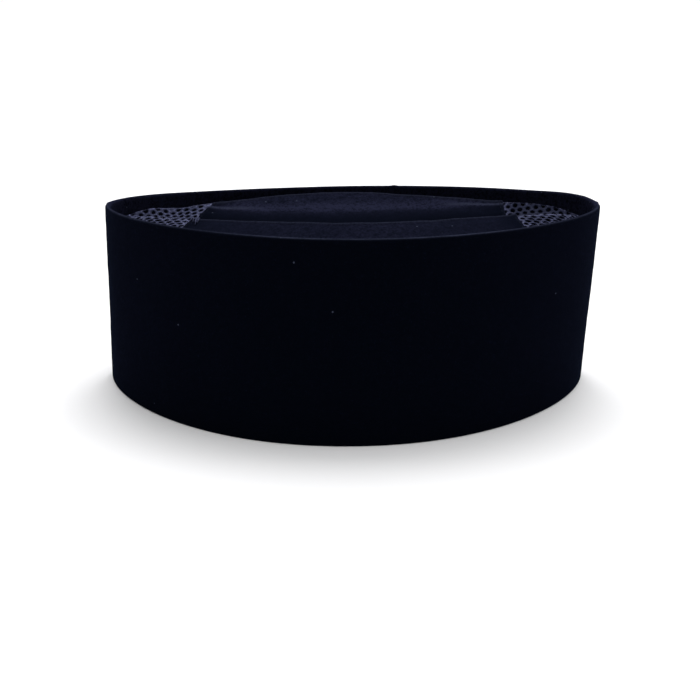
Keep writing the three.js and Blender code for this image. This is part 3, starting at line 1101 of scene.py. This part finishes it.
    def build(self) -> bpy.types.Object:
        """Lays the flat net on the crown's form, under the velvet's hem and into the band, and dresses it.

        Returns:
            The finished object.
        """
        form, towards = self.form, self.end.value
        flat, faces = self.lattice()
        x, y = self.plan(flat[:, 0], flat[:, 1])
        tip = form.tip_x(self.end) + towards * self.into_band
        seam = form.seam_x(self.end) + form.skew(self.end, y)
        outwards = np.clip((x - seam) * towards, -self.tuck, (tip - seam) * towards)
        x = seam + outwards * towards
        limit = form.half_width(x) + self.into_band
        y = np.clip(y, -limit, limit)
        dip = self.hem_dip / (1 + np.exp(outwards / (0.5 * MM)))
        z = form.crown(x, y, self.bead) - self.sunk - self.thickness / 2 - dip + flat[:, 2]
        z += 0.12 * MM * ripple(x, y, 9 * MM, seed=33)
        side = self.end.name.lower()
        faces = faces if self.end is End.FRONT else faces[:, ::-1]
        piece = MeshPiece(side + "_knit", (x, y, z), faces).dress(self.finishes.yarn)
        wear_and_highlight, shaded = self.tones(x, y, outwards)
        made = piece.measure(wear_and_highlight=wear_and_highlight, sunk=shaded, strand_highlight=flat[:, 3]).mount("netting", side + "_net")
        x = np.linspace(form.seam_x(self.end) - towards * self.tuck, tip, 400)[:, None]
        y = (form.half_width(x) + self.into_band) * np.linspace(-1, 1, 201)
        self.declare(made, x, y, bead=self.bead, held="stretched")
        return made

    def tones(self, x: Array, y: Array, outwards: Array) -> tuple[Array, Array]:
        """Painted highlight and painted shade on the yarn: a painted highlight along the near ridge, paler
        beside the seam, and painted shade beside the band and on the leaves.

        Args:
            x: Place along the cap.
            y: Place across it.
            outwards: Distance from the seam towards the tip.

        Returns:
            The wear and highlight measure and the sunk measure, which is painted shade.
        """
        front = self.end is End.FRONT
        ridge_y = self.form.ridge_y(x)
        # Painted highlight along the near ridge's crease, faint on the far ridge
        ridge = hump(np.abs(y) - ridge_y, 0.8 * MM) * np.where(y < 0, 1.0, 0.1)
        seam = hump(outwards, 2.5 * MM)
        pale = np.where(np.abs(y) > ridge_y, 0.1, 0.0) + (0.18 if front else -0.12)
        wear_and_highlight = np.clip(np.maximum(ridge, 0.65 * seam) + pale, 0, 1)
        # Painted shade: darker on the leaves than on the gussets, more on the rear net, and darkest next to
        # the band
        leaf, gusset = (0.3, 0.15) if front else (0.9, 0.35)
        share = np.clip((ridge_y - np.abs(y)) / (4 * MM) + 0.5, 0, 1)
        open_share = 1 - np.maximum(ridge, 0.6 * seam)
        hidden = np.exp(-np.maximum(self.form.half_width(x) - np.abs(y), 0) / (3 * MM))
        return wear_and_highlight, np.maximum(0.85 * hidden, (gusset + (leaf - gusset) * share) * open_share)


@dataclass
class LooseYarn(CapPart):
    """Ends of net yarn that hang over the near ridge, where the front net's seam crosses it."""

    count: int = 6
    length: float = 12 * MM
    radius: float = 0.16 * MM
    spread: tuple = (1.2 * MM, 5.0 * MM)

    def build(self) -> bpy.types.Object:
        """Lays the yarn ends side by side, from behind the ridge down the near gusset, and dresses them.

        Returns:
            The finished object.
        """
        form = self.form
        draw = np.random.default_rng(5)
        t = np.linspace(0, 1, 20)
        seam = form.seam_x(End.FRONT)
        ridge = -float(form.ridge_y(seam))
        start = ridge + draw.uniform(1.5, 3.5, self.count)[:, None] * MM
        reach = self.length * draw.uniform(0.75, 1.0, self.count)[:, None]
        lean = draw.uniform(-0.16, 0.12, self.count)[:, None]
        y = start - reach * t
        beside = np.linspace(*self.spread, self.count) + draw.uniform(-0.3, 0.3, self.count) * MM
        x = seam + form.skew(End.FRONT, start) + beside[:, None] + lean * reach * t**1.6
        lift = draw.uniform(0.15, 0.45, self.count)[:, None] * MM * np.sin(math.pi * t)
        z = form.crown(x, y) + 0.45 * MM + lift
        out = np.broadcast_to(t[None, :, None], (self.count, len(t), ROD_SIDES))
        piece = MeshPiece("loose_yarn", *rods((x, y, z), self.radius, taper=8)).dress(self.finishes.yarn)
        # Full painted strand highlight; painted shade deepening towards each free end; paler near the ridge
        return piece.measure(strand_highlight=1 + 0 * out, sunk=0.35 + 0.5 * out, wear_and_highlight=0.25 - 0.25 * out).mount("netting")


@dataclass
class SeamStitches(CapPart):
    """The row of short black stitches that holds the velvet's hem to the net at one end."""

    end: End
    pitch: float = 3.0 * MM
    length: float = 2.1 * MM
    radius: float = 0.17 * MM
    inside: float = 1.7 * MM

    def build(self) -> bpy.types.Object:
        """Lays the stitches across the crown, pressed half into the pile, and dresses them.

        Returns:
            The finished object.
        """
        form = self.form
        x = form.seam_x(self.end) - self.end.value * self.inside
        half = float(form.half_width(x + form.skew(self.end, -50 * MM))) - 2 * MM
        count = int(2 * half / self.pitch)
        middle = (np.arange(count) - (count - 1) / 2) * self.pitch
        t = np.linspace(-0.5, 0.5, 7)
        y = middle[:, None] + self.length * t
        place = x + form.skew(self.end, y)
        z = form.crown(place, y) + 0.30 * MM - 0.25 * MM * (2 * np.abs(t)) ** 3
        piece = MeshPiece(self.end.name.lower() + "_stitches", *rods((place, y, z), self.radius, taper=6))
        return piece.dress(self.finishes.thread).mount("velvet")


@dataclass
class Studio:
    """Pale floor with a curved backdrop, soft lights, and the camera at the picture's angle."""

    focal_pixels: float = 760.0
    picture_pixels: float = 700.0
    sensor: float = 36.0
    camera_place: tuple = (1.6 * MM, -339.8 * MM, 137.65 * MM)
    horizon_pixels: float = 283.0  # how far the horizon lies above the picture's middle
    floor_colour: tuple = (0.86, 0.86, 0.87, 1)

    def put(self, name: str, data: bpy.types.ID, place: tuple, turn: tuple) -> bpy.types.Object:
        """Puts a camera or light into the scene.

        Args:
            name: The object's name.
            data: Its camera or light data.
            place: Where it stands.
            turn: Its rotation about X, Y and Z.

        Returns:
            The object.
        """
        made = bpy.data.objects.new(name, data)
        made.location = place
        made.rotation_euler = turn
        bpy.context.scene.collection.objects.link(made)
        return made

    def camera(self) -> None:
        """Sets up the camera: its tilt down is the angle from the picture's middle to the horizon."""
        data = bpy.data.cameras.new("camera")
        data.sensor_width = self.sensor
        data.lens = self.sensor * self.focal_pixels / self.picture_pixels
        data.clip_start = 0.01
        tilt = math.atan(self.horizon_pixels / self.focal_pixels)
        bpy.context.scene.camera = self.put("camera", data, self.camera_place, (math.pi / 2 - tilt, 0, 0))

    def floor(self) -> None:
        """Makes the floor and backdrop: flat, then a quarter circle up, carried straight across."""
        reach, bend, wide = 1.6, 0.8, 5.0
        turn = np.linspace(0, math.pi / 2, 24)
        y = np.concatenate([[-4.0], reach + bend * np.sin(turn), [reach + bend]])
        z = np.concatenate([[0.0], bend - bend * np.cos(turn), [4.0]])
        x = np.array([-wide, wide])
        faces = grid_faces(len(y), 2, wrap_rows=False, wrap_columns=False)
        floor = MeshPiece("floor", (x, y[:, None], z[:, None]), faces[:, ::-1])
        bench = NodeBench("pale floor")
        bench.constants(Base_Color=self.floor_colour, Roughness=0.9, Specular_IOR_Level=0.1)
        floor.dress(bench.material)

    def light(self, name: str, kind: str, place: tuple, target: tuple, **settings: float) -> None:
        """Adds one soft light.

        Args:
            name: The light's name.
            kind: AREA or SUN.
            place: Where it stands.
            target: The point it faces.
            settings: Its own values: energy, and an area's size or a sun's angle.
        """
        data = bpy.data.lights.new(name, kind)
        for key, value in settings.items():
            setattr(data, key, value)
        x, y, z = np.array(place) - np.array(target)
        self.put(name, data, place, (math.atan2(math.hypot(x, y), z), 0, math.atan2(x, -y)))

    def build(self) -> None:
        """Makes floor, lights, surroundings and camera."""
        self.floor()
        self.light("sky panel", "SUN", (0.12, 0.22, 1.0), (0, 0, 0), energy=2.5, angle=0.9)
        self.light("wash", "AREA", (0.0, 1.3, 2.6), (0.0, 2.4, 1.0), energy=60, size=2.0)
        world = bpy.data.worlds.new("studio")
        world.use_nodes = True
        background = world.node_tree.nodes["Background"]
        background.inputs["Color"].default_value = (1.0, 1.0, 1.0, 1)
        background.inputs["Strength"].default_value = 0.3
        bpy.context.scene.world = world
        bpy.context.scene.view_settings.view_transform = "Standard"
        self.camera()


def main() -> None:
    """Builds the cap's pieces in order, then the studio."""
    logging.basicConfig(level=logging.INFO, format="%(name)s: %(message)s")
    form = CapForm.from_frame()
    finishes = Finishes()
    SideBand(form, finishes).build()
    VelvetCrown(form, finishes).build()
    for end in End:
        NetPanel(form, finishes, end).build()
        SeamStitches(form, finishes, end).build()
    LooseYarn(form, finishes).build()
    Studio().build()


if __name__ == "__main__":
    main()
